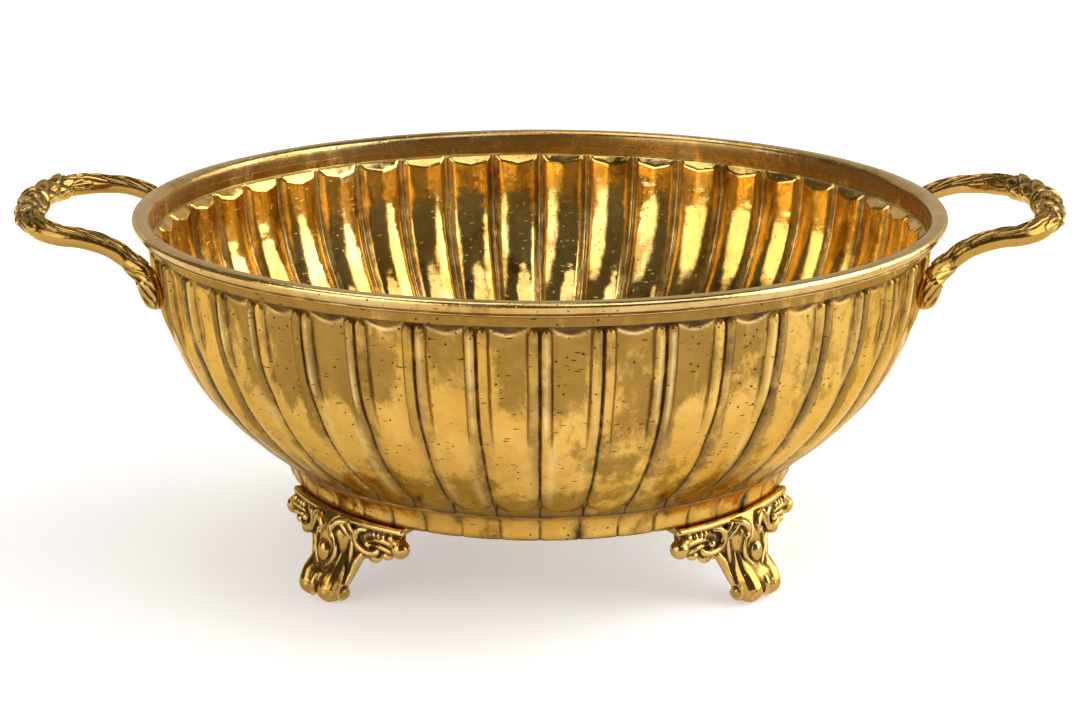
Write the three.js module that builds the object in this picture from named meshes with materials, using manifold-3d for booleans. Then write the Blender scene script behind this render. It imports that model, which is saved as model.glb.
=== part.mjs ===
import * as THREE from 'three';
import { mergeVertices } from 'three/addons/utils/BufferGeometryUtils.js';
import Module from 'manifold-3d';

const wasm = await Module();
wasm.setup();

// A round fluted brass planter on four cast feet, with two cast loop handles.
// Millimetres, +Z up. The origin is on the floor under the middle of the bowl.
// The handles lie along X, and the feet stand on the diagonals.

// Fits
const solderGap = 0.3; // film between pieces that are soldered together
const screwGap = 0.3; // play round a screw in its hole

// Heights from the floor
const footHeight = 35.2; // underside of the base ring
const ringHeight = 11.8; // base ring
const rimTop = 143.7; // flat top of the rim

// Rim ring
const rimRadius = 165; // outside of the bead
const rimFlat = 5; // width of the flat top
const rimHeight = 6.6;
const beadHeight = 2.8;
const beadRound = 1.6; // rounding of the bead's upper edge
const stepInset = 1.4; // step below the bead, set in from it
const stepHeight = 2.2;
const rimInset = 6.1; // bead to the outside of the collar below it

// Bowl sheet
const sheet = 1.2;
const fluteCount = 44;
const collarHeight = 3.4; // plain band between the rim and the flutes
const ridgeInset = 0.6; // ridge crests behind the collar
const ridgeShare = 0.42; // part of a flute's pitch that its ridge takes
const panelDepth = 2.3; // panel edges behind the crests, at the top
const panelCrease = 1; // panel middle behind its edges, at the top
const panelEnd = [0.24, 0.44]; // where the panels run out, as parts of the wall
const lobeDepth = 1.1; // groove that a crest turns into below the panels
const lobeShape = [1, 0.45, 0.2, 0.45]; // the lobe between two grooves, on a flute's four lines
const ridgeInside = 3.9; // ridge inside the bowl behind each panel
const ridgeShape = [0, 0.48, 1, 0.48];
const ridgeFade = 8; // how late the ridge dies out towards the base
const chamferDrop = 3.2; // slope at the top of each panel
const upperPull = 48.6; // how far the wall runs on before it turns in
const upperLean = THREE.MathUtils.degToRad(1.2); // wall from vertical at the top
const lowerPull = 28;
const lowerLean = THREE.MathUtils.degToRad(51); // wall from vertical at the base
const wallRows = 7;

// Base ring and floor
const ringRadius = 105.3; // outside, at the underside
const ringSpread = 7.3; // how far the ring flares to meet the bowl
const ringWall = 2.2;
const ringLine = 0.5; // depth of the line under each ridge
const seatWidth = 13; // ledge under the bowl's floor
const flangeWidth = 13.5; // ledge over the feet
const floorSheet = 1.5;

// Handles
const padFlute = 2; // whole flutes between the X axis and the flute that holds a pad
const padSideGap = 0.4; // pad to the ridges beside it
const padTipDrop = 28.2; // rim top to a pad's lower tip
const padLength = 12;
const padDepth = 10.2;
const padLean = 1; // how far a pad's upper end stands off the wall
const tipDepth = 8;
const tipWidth = 7;
const tipRound = 2.5;
const neckLength = 22; // taper from a pad to its arm
const armThickness = 8.8;
const gripThickness = 12.6;
const gripLength = 84; // leaf-wrapped middle of a handle
const gripTaper = 8;
const armSpan = 102; // between the middles of the two arms
const armStart = 13; // rim to where the arms start to bend round
const handleReach = 41.6; // rim to the middle of the grip
const armDrop = 1.2; // rim top to the middle of an arm
const gripRise = 1.2; // grip above the arms
const shoulderReach = 3.5; // rim to the shoulder over the pad
const shoulderDrop = 5.8;
const neckReach = 2.2; // neck between the shoulder and the pad
const neckDrop = 10.4;
const loopSquareness = 0.8; // 1 is a true oval
const loopPoints = 8; // on each half of the loop
const handleSteps = 40;
const handleSides = 8;

// Feet
const footFlutes = 5; // flute pitches from the X axis to a foot
const wingAngle = THREE.MathUtils.degToRad(19.3); // half the angle that a foot takes
const footPlate = 3; // thickness of the plate under the ring
const plateLip = 2.2; // plate in front of the ring
const wingDrop = 11; // ring to the lower edge of a wing's end
const apronDrop = 17; // ring to the lower edge beside the leg
const wingThickness = 6.5;
const knobRadius = 4; // ball at the end of a wing
const knobOut = 1.4; // middle of that ball in front of the ring
const knobDrop = 12.6; // ring to the underside of that ball
const topSetback = 3.4; // top of the leg behind the ring's outside
const kneeOut = 1.2; // knee in front of the ring
const kneeDrop = 10.6; // ring to the middle of the knee
const shinDrop = 19.4; // ring to where the leg turns outwards
const instepHeight = 10.2;
const toeOut = 10.2; // middle of the toe in front of the ring
const legTopWidth = 25;
const ankleWidth = 21;
const legTaper = 0.55; // part of the leg in which it narrows
const legDepth = 13.4;
const toeRadius = 6.8;
const sideToeRadius = 6.1;
const sideToe = 4.8; // outer toes from the middle one, to the side
const sideToeBack = 1.6; // outer toes behind the middle one
const soleCut = 0.7; // how much of the toes is ground flat
const voluteRadius = 3.4; // scroll eye on each side of the foot
const voluteWidth = 4.8;
const voluteSide = 7.4; // eye from the middle of the foot
const voluteBack = 6.8; // eye behind the middle of the toe
const voluteHeight = 4.1;
const apronSteps = 6;
const legSteps = 6;
const legSides = 8;

// Foot screws
const screwSetback = THREE.MathUtils.degToRad(7.8); // screw from the end of a wing
const screwRadius = 2;
const headRadius = 3.6;
const headHeight = 2.4;
const washerRadius = 4.6;
const washerThickness = 0.8;
const screwSides = 8;

// Heights and radii that follow from these
const ringTop = footHeight + ringHeight;
const collarRadius = rimRadius - rimInset;
const ridgeRadius = collarRadius - ridgeInset;
const collarTop = rimTop - rimHeight - solderGap;
const fluteTop = collarTop - collarHeight;
const creaseRadius = ringRadius + ringSpread;
const bowlFoot = ringTop + solderGap;
const flangeTop = footHeight + ringWall;
const plateTop = footHeight - solderGap;
const screwCircle = ringRadius - (flangeWidth + ringWall) / 2;
const pitch = 2 * Math.PI / fluteCount;
const panelWidth = ridgeRadius * pitch * (1 - ridgeShare);
const padWidth = panelWidth - 2 * padSideGap;
const padAzimuth = (padFlute + 0.5) * pitch;
const footAzimuth = footFlutes * pitch;
const screwAngle = wingAngle - screwSetback;
const wingEnd = wingAngle - plateLip / ringRadius;

function brass(color, roughness) {
  return new THREE.MeshStandardMaterial({ color, roughness, metalness: 1 });
}

const sheetBrass = { color: 0xb58a35, roughness: 0.34 };
const castBrass = { color: 0xa87a2c, roughness: 0.3 };
const rimBrass = { color: 0xb09158, roughness: 0.4 };
const screwBrass = { color: 0x8f6d35, roughness: 0.5 };

// Six times the volume that the triangles enclose, negative when they face inwards.
function signedVolume(position, index) {
  const a = new THREE.Vector3();
  const b = new THREE.Vector3();
  const c = new THREE.Vector3();
  let total = 0;
  for (let i = 0; i < index.length; i += 3) {
    a.fromBufferAttribute(position, index[i]);
    b.fromBufferAttribute(position, index[i + 1]);
    c.fromBufferAttribute(position, index[i + 2]);
    total += a.dot(b.cross(c));
  }
  return total;
}

function faceOutwards(geometry) {
  const index = Array.from(geometry.index.array);
  if (signedVolume(geometry.attributes.position, index) < 0) index.reverse();
  geometry.setIndex(index);
  return geometry;
}

function welded(geometry) {
  const bare = geometry.clone();
  bare.deleteAttribute('normal');
  bare.deleteAttribute('uv');
  return faceOutwards(mergeVertices(bare));
}

function fromPoints(points, index) {
  const geometry = new THREE.BufferGeometry().setFromPoints(points);
  geometry.setIndex(index);
  return faceOutwards(geometry);
}

// Sheet that closes on itself both round the axis and round its own section.
function closedGrid(rows, columns, pointAt) {
  const points = [];
  const index = [];
  for (let i = 0; i < rows; i++) {
    for (let j = 0; j < columns; j++) {
      points.push(pointAt(i, j));
      const a = i * columns + j;
      const b = i * columns + (j + 1) % columns;
      const c = (i + 1) % rows * columns + (j + 1) % columns;
      const d = (i + 1) % rows * columns + j;
      index.push(a, b, c, a, c, d);
    }
  }
  return fromPoints(points, index);
}

// Skin over a row of sections with the same number of points, closed at both ends.
function loft(sections) {
  const sides = sections[0].length;
  const index = [];
  for (let i = 0; i < sections.length - 1; i++) {
    for (let j = 0; j < sides; j++) {
      const a = i * sides + j;
      const b = i * sides + (j + 1) % sides;
      index.push(a, b, b + sides, a, b + sides, a + sides);
    }
  }
  const last = (sections.length - 1) * sides;
  for (let j = 1; j < sides - 1; j++) {
    index.push(0, j + 1, j, last, last + j, last + j + 1);
  }
  return fromPoints(sections.flat(), index);
}

function ellipse(centre, across, halfAcross, outward, halfOutward, sides) {
  const points = [];
  for (let j = 0; j < sides; j++) {
    const angle = 2 * Math.PI * j / sides;
    const point = centre.clone();
    point.addScaledVector(across, halfAcross * Math.cos(angle));
    point.addScaledVector(outward, halfOutward * Math.sin(angle));
    points.push(point);
  }
  return points;
}

function turned(profile, segments) {
  const points = profile.map(([radius, height]) => new THREE.Vector2(radius, height));
  const geometry = new THREE.LatheGeometry(points, segments);
  geometry.rotateX(Math.PI / 2);
  return welded(geometry);
}

function polar(radius, azimuth, height) {
  return new THREE.Vector3(radius * Math.cos(azimuth), radius * Math.sin(azimuth), height);
}

function solid(geometry) {
  const clean = welded(geometry);
  return new wasm.Manifold(new wasm.Mesh({
    numProp: 3,
    vertProperties: new Float32Array(clean.attributes.position.array),
    triVerts: new Uint32Array(clean.index.array),
  }));
}

function skin(manifold) {
  const mesh = manifold.getMesh();
  const geometry = new THREE.BufferGeometry();
  geometry.setAttribute('position', new THREE.BufferAttribute(mesh.vertProperties, 3));
  geometry.setIndex(Array.from(mesh.triVerts));
  return geometry;
}

const planter = new THREE.Group();

function addPiece(name, geometry, finish, azimuth = 0) {
  const mesh = new THREE.Mesh(geometry, brass(finish.color, finish.roughness));
  mesh.name = name;
  mesh.rotation.z = azimuth;
  planter.add(mesh);
}

// Bowl wall: the line of the ridge crests, from the collar down to the base ring.
const wall = new THREE.CubicBezierCurve(
  new THREE.Vector2(ridgeRadius, fluteTop),
  new THREE.Vector2(
    ridgeRadius - upperPull * Math.sin(upperLean),
    fluteTop - upperPull * Math.cos(upperLean),
  ),
  new THREE.Vector2(
    creaseRadius + lowerPull * Math.sin(lowerLean),
    bowlFoot + lowerPull * Math.cos(lowerLean),
  ),
  new THREE.Vector2(creaseRadius, bowlFoot),
);

// How deep the outside lies behind the crest line at one of a flute's four lines.
function fluteDepth(line, along) {
  const panel = [0, panelDepth, panelDepth + panelCrease, panelDepth][line];
  return THREE.MathUtils.lerp(panel, lobeDepth * lobeShape[line], THREE.MathUtils.smoothstep(along, ...panelEnd));
}

// The same for the inside: a sheet behind the outside, and thicker where a ridge stands.
function insideDepth(line, along) {
  const ridge = ridgeInside * ridgeShape[line] * (1 - along ** ridgeFade);
  return sheet + Math.max(fluteDepth(line, along), ridge);
}

// Rows of the bowl from its top edge down, each with its outward direction.
function bowlRows() {
  const level = new THREE.Vector2(1, 0);
  const rows = [
    { at: new THREE.Vector2(collarRadius, collarTop), out: level, depth: () => 0, inside: () => sheet },
    { at: new THREE.Vector2(collarRadius, fluteTop), out: level, depth: () => 0, inside: () => sheet },
  ];
  const chamferEnd = chamferDrop / (3 * upperPull);
  for (let i = 0; i <= wallRows; i++) {
    const along = chamferEnd + (1 - chamferEnd) * i / wallRows;
    const down = wall.getTangent(along);
    rows.push({
      at: wall.getPoint(along),
      out: new THREE.Vector2(-down.y, down.x),
      depth: (line) => fluteDepth(line, along),
      inside: (line) => insideDepth(line, along),
    });
  }
  return rows;
}

function makeBowl() {
  const rows = bowlRows();
  const lines = [0, ridgeShare / 2, 0.5, 1 - ridgeShare / 2];
  const count = rows.length;
  return closedGrid(2 * count, fluteCount * lines.length, (i, j) => {
    const row = i < count ? rows[i] : rows[2 * count - 1 - i];
    const line = j % lines.length;
    const azimuth = pitch * (Math.floor(j / lines.length) + lines[line]);
    const inwards = i < count ? row.depth(line) : row.inside(line);
    const place = row.at.clone().addScaledVector(row.out, -inwards);
    return polar(place.x, azimuth, place.y);
  });
}

// Rim ring: flat top, rounded bead, small step and a hollow down to the collar.
function makeRim() {
  const inner = rimRadius - rimFlat;
  const bottom = rimTop - rimHeight;
  const beadFoot = rimTop - beadHeight;
  const stepRadius = rimRadius - stepInset;
  const stepFoot = beadFoot - stepHeight;
  const profile = [[inner, rimTop]];
  for (const angle of [90, 45, 0]) {
    const turn = THREE.MathUtils.degToRad(angle);
    profile.push([
      rimRadius - beadRound + beadRound * Math.cos(turn),
      rimTop - beadRound + beadRound * Math.sin(turn),
    ]);
  }
  profile.push(
    [rimRadius, beadFoot + stepInset / 2],
    [stepRadius, beadFoot],
    [stepRadius, stepFoot],
    [(stepRadius + collarRadius) / 2, (stepFoot + bottom) / 2],
    [collarRadius, bottom],
    [collarRadius - sheet, bottom],
    [inner, rimTop],
  );
  return turned(profile, 2 * fluteCount);
}

// Base ring: a hollow moulding with a ledge under the bowl and a ledge over the feet.
function makeRing() {
  const cove = new THREE.QuadraticBezierCurve(
    new THREE.Vector2(creaseRadius, ringTop),
    new THREE.Vector2(ringRadius, ringTop - ringHeight / 3),
    new THREE.Vector2(ringRadius, footHeight),
  );
  const outside = cove.getPoints(3);
  const inside = cove.getPoints(2).map((point) => new THREE.Vector2(
    point.x - ringWall,
    THREE.MathUtils.clamp(point.y, flangeTop, ringTop - ringWall),
  )).reverse();
  const profile = [
    ...outside,
    new THREE.Vector2(ringRadius - flangeWidth, footHeight),
    new THREE.Vector2(ringRadius - flangeWidth, flangeTop),
    ...inside,
    new THREE.Vector2(creaseRadius - seatWidth, ringTop - ringWall),
    new THREE.Vector2(creaseRadius - seatWidth, ringTop),
  ];
  const lined = closedGrid(profile.length, 2 * fluteCount, (i, j) => {
    const dent = i < outside.length && j % 2 === 0 ? ringLine : 0;
    return polar(profile[i].x - dent, pitch * j / 2, profile[i].y);
  });
  let ring = solid(lined);
  for (const [azimuth] of feet) {
    for (const side of [-1, 1]) {
      ring = ring.subtract(solid(screwHole(azimuth + side * screwAngle)));
    }
  }
  return skin(ring);
}

function screwHole(azimuth) {
  const length = 2 * (ringWall + footPlate + solderGap);
  const hole = new THREE.CylinderGeometry(
    screwRadius + screwGap, screwRadius + screwGap, length, screwSides,
  );
  hole.rotateX(Math.PI / 2);
  hole.translate(screwCircle, 0, footHeight);
  hole.rotateZ(azimuth);
  return hole;
}

function makeFloor() {
  const bottom = ringTop + solderGap;
  const innerEnd = bowlRows().at(-1);
  const deepest = Math.max(...lobeShape.map((_, line) => insideDepth(line, 1)));
  const edge = innerEnd.at.x - innerEnd.out.x * deepest - solderGap;
  const profile = [
    [0, bottom],
    [edge, bottom],
    [edge, bottom + floorSheet],
    [0, bottom + floorSheet],
  ];
  return turned(profile, fluteCount);
}

// Half-widths of a handle, sideways and outwards, at a distance from its nearer tip.
function handleSection(distance, halfLength) {
  const gripStart = halfLength - gripLength / 2;
  const stations = [
    [0, tipWidth / 2, tipDepth / 4],
    [tipRound, (tipWidth + padWidth) / 4, tipDepth / 2],
    [padLength, padWidth / 2, padDepth / 2],
    [padLength + neckLength, armThickness / 2, armThickness / 2],
    [gripStart - gripTaper, armThickness / 2, armThickness / 2],
    [gripStart, gripThickness / 2, gripThickness / 2],
    [halfLength + gripTaper, gripThickness / 2, gripThickness / 2],
  ];
  const next = Math.max(1, stations.findIndex((station) => station[0] >= distance));
  const [from, to] = [stations[next - 1], stations[next]];
  const part = (distance - from[0]) / (to[0] - from[0]);
  return [1, 2].map((k) => THREE.MathUtils.lerp(from[k], to[k], part));
}

// Radius of the middle of a flute's panel at a height on the upper wall.
function panelRadius(height) {
  const halvings = 30;
  let low = 0;
  let high = 1;
  for (let i = 0; i < halvings; i++) {
    const middle = (low + high) / 2;
    if (wall.getPoint(middle).y > height) low = middle;
    else high = middle;
  }
  return wall.getPoint(low).x - fluteDepth(2, low);
}

// Half of a handle's centre line, from the lower tip of a pad to the middle of the grip.
function handleLine() {
  const tip = rimTop - padTipDrop;
  const padTop = tip + padLength;
  const half = armSpan / 2;
  const padMiddle = panelRadius(tip + padLength / 2) + solderGap + padDepth / 2;
  const neckRadius = rimRadius + neckReach;
  const points = [
    polar(panelRadius(tip) + solderGap + tipDepth / 2, -padAzimuth, tip),
    polar(padMiddle, -padAzimuth, tip + padLength / 2),
    polar(padMiddle + padLean, -padAzimuth, padTop),
    polar(neckRadius, -Math.asin(half / neckRadius), rimTop - neckDrop),
    new THREE.Vector3(rimRadius + shoulderReach, -half, rimTop - shoulderDrop),
  ];
  for (let i = 0; i < loopPoints; i++) {
    const turn = Math.PI * (i / (2 * loopPoints - 1) - 0.5);
    const bend = Math.cos(turn);
    points.push(new THREE.Vector3(
      rimRadius + armStart + (handleReach - armStart) * bend ** loopSquareness,
      half * Math.sin(turn),
      rimTop - armDrop + gripRise * bend ** 2,
    ));
  }
  return points;
}

// Handle on the +X side. Its section lies level along the arms and square to the wall at the pads.
function makeHandle() {
  const half = handleLine();
  const other = half.map((point) => new THREE.Vector3(point.x, -point.y, point.z)).reverse();
  const line = new THREE.CatmullRomCurve3([...half, ...other], false, 'centripetal');
  const length = line.getLength();
  const up = new THREE.Vector3(0, 0, 1);
  const sections = [];
  for (let i = 0; i <= handleSteps; i++) {
    const share = i / handleSteps;
    const side = share < 0.5 ? -1 : 1;
    const distance = Math.min(share, 1 - share) * length;
    const along = line.getTangentAt(share);
    const level = new THREE.Vector3().crossVectors(along, up).normalize();
    const padLevel = new THREE.Vector3(-Math.sin(padAzimuth), side * Math.cos(padAzimuth), 0);
    const armPart = THREE.MathUtils.smoothstep(distance, padLength, padLength + neckLength);
    const sideways = padLevel.lerp(level, armPart).normalize();
    const outward = new THREE.Vector3().crossVectors(sideways, along).normalize();
    const [across, deep] = handleSection(distance, length / 2);
    sections.push(ellipse(line.getPointAt(share), sideways, across, outward, deep, handleSides));
  }
  return loft(sections);
}

// A foot stands at azimuth 0 here and is turned to its place afterwards.
function footPlateShape() {
  const outer = ringRadius + plateLip;
  const inner = ringRadius - flangeWidth;
  const shape = new THREE.Shape();
  shape.absarc(0, 0, outer, -wingAngle, wingAngle, false);
  shape.absarc(0, 0, inner, wingAngle, -wingAngle, true);
  const plate = new THREE.ExtrudeGeometry(shape, {
    depth: footPlate, bevelEnabled: false, curveSegments: 6,
  });
  plate.translate(0, 0, plateTop - footPlate);
  return plate;
}

function footApron() {
  const outer = ringRadius + plateLip / 2;
  const inner = outer - wingThickness;
  const top = plateTop - footPlate / 2;
  const round = wingThickness / 3;
  const sections = [];
  for (let i = 0; i <= apronSteps; i++) {
    const turn = wingEnd * (2 * i / apronSteps - 1);
    const low = footHeight - THREE.MathUtils.lerp(apronDrop, wingDrop, (turn / wingEnd) ** 2);
    sections.push([
      polar(inner, turn, top),
      polar(outer, turn, top),
      polar(outer, turn, low + round),
      polar(outer - round, turn, low),
      polar(inner + round, turn, low),
      polar(inner, turn, low + round),
    ]);
  }
  return loft(sections);
}

function footLeg() {
  const outline = new THREE.CatmullRomCurve3([
    new THREE.Vector3(ringRadius - topSetback, 0, plateTop - footPlate / 2),
    new THREE.Vector3(ringRadius + kneeOut, 0, footHeight - kneeDrop),
    new THREE.Vector3(ringRadius + kneeOut, 0, footHeight - shinDrop),
    new THREE.Vector3(ringRadius + (kneeOut + toeOut) / 2, 0, instepHeight),
    new THREE.Vector3(ringRadius + toeOut, 0, toeRadius),
  ]);
  const across = new THREE.Vector3(0, 1, 0);
  const sections = [];
  for (let i = 0; i <= legSteps; i++) {
    const share = i / legSteps;
    const outward = new THREE.Vector3().crossVectors(across, outline.getTangentAt(share));
    const narrow = THREE.MathUtils.smoothstep(share, 0, legTaper);
    const width = THREE.MathUtils.lerp(legTopWidth, ankleWidth, narrow);
    const centre = outline.getPointAt(share);
    sections.push(ellipse(centre, across, width / 2, outward, legDepth / 2, legSides));
  }
  return loft(sections);
}

function ball(radius, x, y, z, width = 2 * radius) {
  const geometry = new THREE.SphereGeometry(radius, 8, 6);
  geometry.rotateX(Math.PI / 2);
  geometry.scale(1, width / (2 * radius), 1);
  geometry.translate(x, y, z);
  return geometry;
}

function makeFoot() {
  const toeMiddle = ringRadius + toeOut;
  const eye = toeMiddle - voluteBack;
  const shapes = [
    footPlateShape(),
    footApron(),
    footLeg(),
    ball(toeRadius, toeMiddle, 0, toeRadius - soleCut),
  ];
  for (const side of [-1, 1]) {
    const knob = polar(ringRadius + knobOut, side * wingEnd, footHeight - knobDrop + knobRadius);
    shapes.push(
      ball(knobRadius, knob.x, knob.y, knob.z),
      ball(sideToeRadius, toeMiddle - sideToeBack, side * sideToe, sideToeRadius - soleCut),
      ball(voluteRadius, eye, side * voluteSide, voluteHeight, voluteWidth),
    );
  }
  let foot = shapes.map(solid).reduce((sum, shape) => sum.add(shape));
  for (const side of [-1, 1]) {
    foot = foot.subtract(solid(screwHole(side * screwAngle)));
  }
  const span = 4 * toeMiddle;
  const room = new THREE.BoxGeometry(span, span, plateTop);
  room.translate(0, 0, plateTop / 2);
  return skin(foot.intersect(solid(room)));
}

function makeScrew() {
  const seat = flangeTop + 2 * solderGap + washerThickness;
  const tip = plateTop - footPlate;
  const screw = turned([
    [0, tip],
    [screwRadius, tip],
    [screwRadius, seat],
    [headRadius, seat],
    [headRadius, seat + headHeight / 2],
    [headRadius / 2, seat + headHeight],
    [0, seat + headHeight],
  ], screwSides);
  return screw.translate(screwCircle, 0, 0);
}

function makeWasher() {
  const bottom = flangeTop + solderGap;
  const bore = screwRadius + screwGap;
  const washer = turned([
    [bore, bottom],
    [washerRadius, bottom],
    [washerRadius, bottom + washerThickness],
    [bore, bottom + washerThickness],
    [bore, bottom],
  ], screwSides);
  return washer.translate(screwCircle, 0, 0);
}

const feet = [
  [footAzimuth, 'back_right'],
  [Math.PI - footAzimuth, 'back_left'],
  [Math.PI + footAzimuth, 'front_left'],
  [-footAzimuth, 'front_right'],
];

addPiece('bowl_shell', makeBowl(), sheetBrass);
addPiece('rim_ring', makeRim(), rimBrass);
addPiece('base_ring', makeRing(), sheetBrass);
addPiece('bowl_floor', makeFloor(), sheetBrass);
addPiece('handle_right', makeHandle(), castBrass);
addPiece('handle_left', makeHandle(), castBrass, Math.PI);

const foot = makeFoot();
const screw = makeScrew();
const washer = makeWasher();
for (const [azimuth, place] of feet) {
  addPiece(`foot_${place}`, foot, castBrass, azimuth);
  [-1, 1].forEach((side, i) => {
    const turn = azimuth + side * screwAngle;
    addPiece(`foot_screw_${place}_${i + 1}`, screw, screwBrass, turn);
    addPiece(`foot_washer_${place}_${i + 1}`, washer, screwBrass, turn);
  });
}

export default planter;
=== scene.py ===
import math
import bmesh
import bpy
import numpy as np
from bisect import bisect_right
from mathutils import Matrix, Vector, noise


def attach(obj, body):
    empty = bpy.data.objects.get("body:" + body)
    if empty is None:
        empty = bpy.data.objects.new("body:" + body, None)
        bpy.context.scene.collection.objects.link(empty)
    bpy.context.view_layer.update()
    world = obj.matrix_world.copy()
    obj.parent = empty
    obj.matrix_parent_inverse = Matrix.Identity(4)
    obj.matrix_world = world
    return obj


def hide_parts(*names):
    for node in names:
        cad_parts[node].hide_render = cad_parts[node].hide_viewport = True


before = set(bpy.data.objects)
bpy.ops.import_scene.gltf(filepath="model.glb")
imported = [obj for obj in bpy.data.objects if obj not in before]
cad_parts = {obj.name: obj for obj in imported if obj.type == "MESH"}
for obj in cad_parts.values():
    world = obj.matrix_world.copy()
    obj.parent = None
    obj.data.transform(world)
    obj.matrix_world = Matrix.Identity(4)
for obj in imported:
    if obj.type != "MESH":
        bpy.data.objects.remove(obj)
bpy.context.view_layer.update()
print("frame:", len(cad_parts), "nodes")

mm = 0.001
axis = Vector((0, 0, 1))


def ease(value, start, end):
    share = min(1.0, max(0.0, (value - start) / (end - start)))
    return share * share * (3 - 2 * share)


def steps(first, last, count):
    return [first + (last - first) * i / count for i in range(count)]


def bezier(points, share):
    rest = 1 - share
    weights = (rest ** 3, 3 * rest * rest * share, 3 * rest * share * share, share ** 3)
    return sum((point * weight for point, weight in zip(points, weights)), Vector((0, 0)))


def hump(value, middle, width):
    return math.exp(-((value - middle) / width) ** 2)


def linkObject(name, data):
    made = bpy.data.objects.new(name, data)
    bpy.context.scene.collection.objects.link(made)
    return made


def meshObject(name, bm):
    mesh = bpy.data.meshes.new(name)
    bm.to_mesh(mesh)
    bm.free()
    return linkObject(name, mesh)


# Sets or links inputs of a node.
def plug(tree, node, sockets):
    for socket, value in sockets.items():
        if isinstance(value, bpy.types.NodeSocket):
            tree.links.new(value, node.inputs[socket])
        else:
            node.inputs[socket].default_value = value


# Nodes are laid out in rows of eight, in the order in which they are made.
def addNode(tree, kind, sockets, **settings):
    made = tree.nodes.new(kind)
    row, column = divmod(len(tree.nodes), 8)
    made.location = (250 * column, -300 * row)
    for name, value in settings.items():
        setattr(made, name, value)
    plug(tree, made, sockets)
    return made


# One brass recipe for all finishes: cloudy colour, stains, pits, dirt in the hollows, wear and dents, with
# painted shade laid in through the stain and dirt colours and painted highlights through the worn colour.
def brassFinish(name, look):
    material = bpy.data.materials.new(name)
    material.use_nodes = True
    tree = material.node_tree
    place = addNode(tree, "ShaderNodeTexCoord", {})

    def stretched(stretch):
        sockets = {"Vector": place.outputs["Object"], "Scale": stretch}
        return addNode(tree, "ShaderNodeMapping", sockets).outputs["Vector"]

    def noiseMap(scale, detail, stretch=(1, 1, 1), raggedness=0.6):
        sockets = {"Vector": stretched(stretch), "Scale": scale, "Detail": detail, "Roughness": raggedness}
        return addNode(tree, "ShaderNodeTexNoise", sockets).outputs["Fac"]

    def painted(attribute):
        return addNode(tree, "ShaderNodeAttribute", {}, attribute_name=attribute).outputs["Fac"]

    def span(value, low, high, start=0.0, end=1.0):
        sockets = {"Value": value, "From Min": low, "From Max": high, "To Min": start, "To Max": end}
        made = addNode(tree, "ShaderNodeMapRange", sockets, interpolation_type="SMOOTHSTEP")
        return made.outputs["Result"]

    def combine(kind, one, two):
        made = addNode(tree, "ShaderNodeMath", {0: one, 1: two}, operation=kind, use_clamp=True)
        return made.outputs["Value"]

    def blend(base, over, share):
        sockets = {"Factor": share, 6: base, 7: (*over, 1)}
        made = addNode(tree, "ShaderNodeMix", sockets, data_type="RGBA", clamp_factor=True)
        return made.outputs[2]

    def pits(scale, gate, stretch=(1, 1, 1)):
        cells = addNode(tree, "ShaderNodeTexVoronoi", {"Vector": stretched(stretch), "Scale": scale})
        holes = span(cells.outputs["Distance"], look["pitSize"], look["pitSize"] * 0.55)
        return combine("MULTIPLY", holes, gate)

    clouds = span(noiseMap(look["cloudScale"], 3), *look["cloudSpan"])
    pull = combine("MULTIPLY", painted("patinaAndShade"), look["patinaShadePull"])
    stainsAndShade = combine("ADD", noiseMap(look["stainScale"], 9, look["stainStretch"], 0.7), pull)
    stainsAndShade = span(stainsAndShade, *look["stainShadeSpan"], 0, look["stainShadeAmount"])
    smudge = span(noiseMap(look["smudgeScale"], 5), *look["smudgeSpan"], 0, look["smudgeAmount"])
    pitPatches = span(noiseMap(look["pitPatchScale"], 3), *look["pitPatchSpan"])
    holes = pits(look["pitScale"], pitPatches)
    dashPatches = span(noiseMap(look["dashPatchScale"], 3), *look["dashPatchSpan"])
    dashes = pits(look["dashScale"], dashPatches, look["dashStretch"])
    broken = span(noiseMap(look["dirtShadeScale"], 4), *look["dirtShadeSpan"], *look["dirtShadeRange"])
    dirtAndShade = combine("MULTIPLY", painted("grime"), broken)
    marks = combine("MULTIPLY", combine("MAXIMUM", holes, dashes), look["pitAmount"])
    soilAndShade = combine("MAXIMUM", dirtAndShade, marks)
    sheenNoise = noiseMap(look["wearSheenScale"], 4, look["wearSheenStretch"])
    sheenNoise = span(sheenNoise, *look["wearSheenSpan"], *look["wearSheenRange"])
    wearAndHighlight = combine("MULTIPLY", painted("wearAndHighlight"), sheenNoise)

    colour = blend((*look["warm"], 1), look["pale"], clouds)
    for over, share in (("stainAndShade", stainsAndShade), ("smudge", smudge), ("wornHighlight", wearAndHighlight), ("dirtAndShade", soilAndShade)):
        colour = blend(colour, look[over], share)
    gloss = span(noiseMap(look["glossScale"], 5), *look["glossSpan"], *look["roughness"])
    normal = None
    relief = (
        (noiseMap(look["dentScale"], 2), look["dentDepth"]),
        (noiseMap(look["grainScale"], 3), look["grainDepth"]),
        (soilAndShade, -look["pitDepth"]),
    )
    for source, depth in relief:
        sockets = {"Height": source, "Strength": 1.0, "Distance": abs(depth) * mm}
        if normal:
            sockets["Normal"] = normal
        normal = addNode(tree, "ShaderNodeBump", sockets, invert=depth < 0).outputs["Normal"]
    plug(tree, tree.nodes["Principled BSDF"], {
        "Base Color": colour,
        "Specular Tint": (*look["edge"], 1),
        "Roughness": combine("ADD", gloss, combine("MULTIPLY", soilAndShade, look["soilShadeRough"])),
        "Metallic": combine("SUBTRACT", 1.0, combine("MULTIPLY", soilAndShade, look["soilShadeCover"])),
        "Normal": normal,
    })
    return material


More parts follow.
